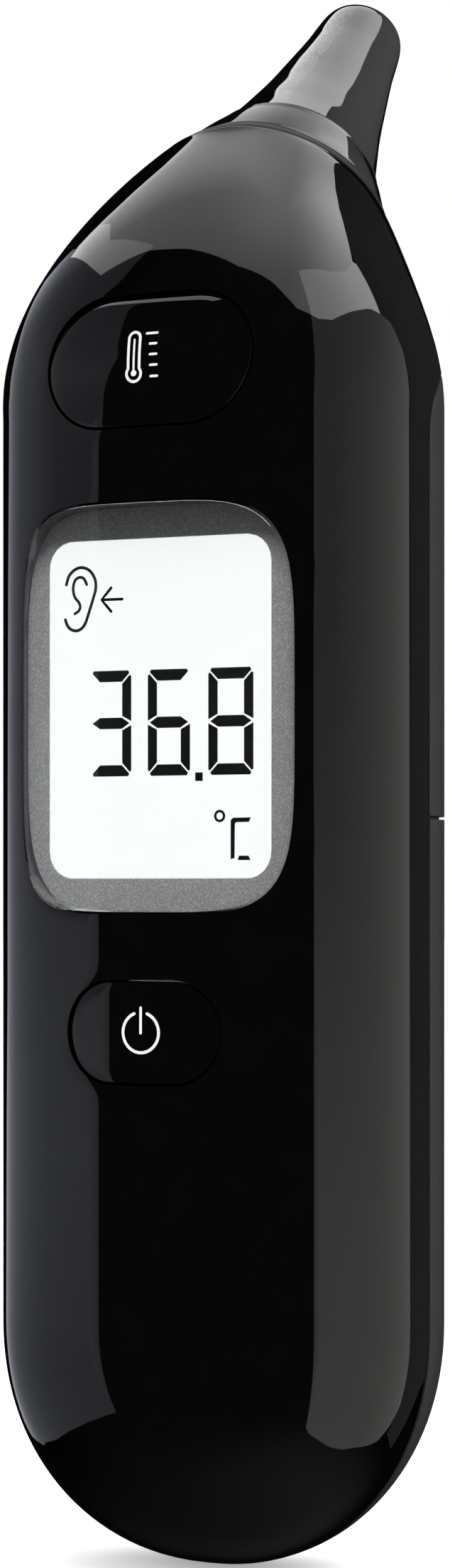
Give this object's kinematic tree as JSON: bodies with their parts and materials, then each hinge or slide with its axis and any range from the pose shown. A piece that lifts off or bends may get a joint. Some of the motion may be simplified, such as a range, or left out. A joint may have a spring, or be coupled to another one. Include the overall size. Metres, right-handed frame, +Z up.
{
  "type": "ear thermometer",
  "caption": "Infrared ear thermometer: a rounded hand-held body with a backlit display, measuring and power buttons, a leaning ear probe and a sliding battery cover.",
  "frame": {"origin": "centre of the bounding box at its lowest level, under the rounded lower end", "axes": "+Z up along the body towards the probe, -Y is the front with the display and buttons, +Y is the back towards which the probe leans, +X to the right seen from the front"},
  "size_m": [0.0442, 0.0526, 0.1606],
  "materials": {
    "gloss_black": "polished injection-moulded black",
    "satin_black": "satin black",
    "lens_clear": "clear polished",
    "frame_flake": "fine metallic flake grey",
    "lcd_white": "white backlit film",
    "lcd_glass": "clear glass",
    "white_plastic": "white moulded",
    "acrylic": "frosted acrylic",
    "connector_rubber": "silicone with conductive strips",
    "board_green": "solder-masked glass-epoxy board",
    "chip_black": "moulded epoxy",
    "steel": "plated steel",
    "contact_steel": "nickel-plated spring steel",
    "guide_gold": "gold-plated, polished inside",
    "housing_aluminium": "machined",
    "seal_black": "matt black",
    "inner_black": "plain black moulded",
    "ir_window": "dark infrared window",
    "cell_jacket": "printed jacket",
    "lead_grey": "grey insulated lead"
  },
  "bodies": {
    "thermometer": {"front_shell": "gloss_black", "rear_shell": "satin_black", "measure_switch": "steel", "power_switch": "steel", "display_lens": "lens_clear", "display_frame": "frame_flake", "lcd_polarizer": "lcd_white", "lcd_glass": "lcd_glass", "lcd_holder": "white_plastic", "backlight_guide": "acrylic", "backlight_led": "white_plastic", "lcd_connector_strip": "connector_rubber", "main_board": "board_green", "microcontroller": "chip_black", "sensor_amplifier": "chip_black", "memory_chip": "chip_black", "crystal": "steel", "buzzer": "inner_black", "case_screw_left": "steel", "case_screw_right": "steel", "board_screw_1": "steel", "board_screw_2": "steel", "board_screw_3": "steel", "tray_screw_lower_left": "steel", "tray_screw_lower_right": "steel", "tray_screw_upper_left": "steel", "tray_screw_upper_right": "steel", "battery_tray": "inner_black", "battery_cell_left": "cell_jacket", "battery_cell_right": "cell_jacket", "bridge_contact": "contact_steel", "bridge_spring": "contact_steel", "positive_contact": "contact_steel", "negative_contact": "contact_steel", "negative_spring": "contact_steel", "probe_nozzle": "gloss_black", "probe_collar": "gloss_black", "collar_seal": "seal_black", "probe_retainer": "inner_black", "tip_window": "ir_window", "waveguide_tube": "guide_gold", "sensor_housing": "housing_aluminium", "thermopile_can": "contact_steel", "sensor_board": "board_green", "sensor_lead": "lead_grey"},
    "measure_button_body": {"measure_button": "gloss_black", "measure_plunger": "inner_black"},
    "power_button_body": {"power_button": "gloss_black", "power_plunger": "inner_black"},
    "battery_cover_body": {"battery_cover": "satin_black"}
  },
  "joints": [
    {"name": "measure_press", "type": "slide", "parent": "thermometer", "child": "measure_button_body", "axis": [0, 1, 0], "range_m": [0, 0.0005], "stiffness_N_per_m": 2000},
    {"name": "power_press", "type": "slide", "parent": "thermometer", "child": "power_button_body", "axis": [0, 1, 0], "range_m": [0, 0.0005], "stiffness_N_per_m": 2000},
    {"name": "battery_cover_slide", "type": "slide", "parent": "thermometer", "child": "battery_cover_body", "axis": [0, 0, -1], "range_m": [0, 0.055]}
  ]
}
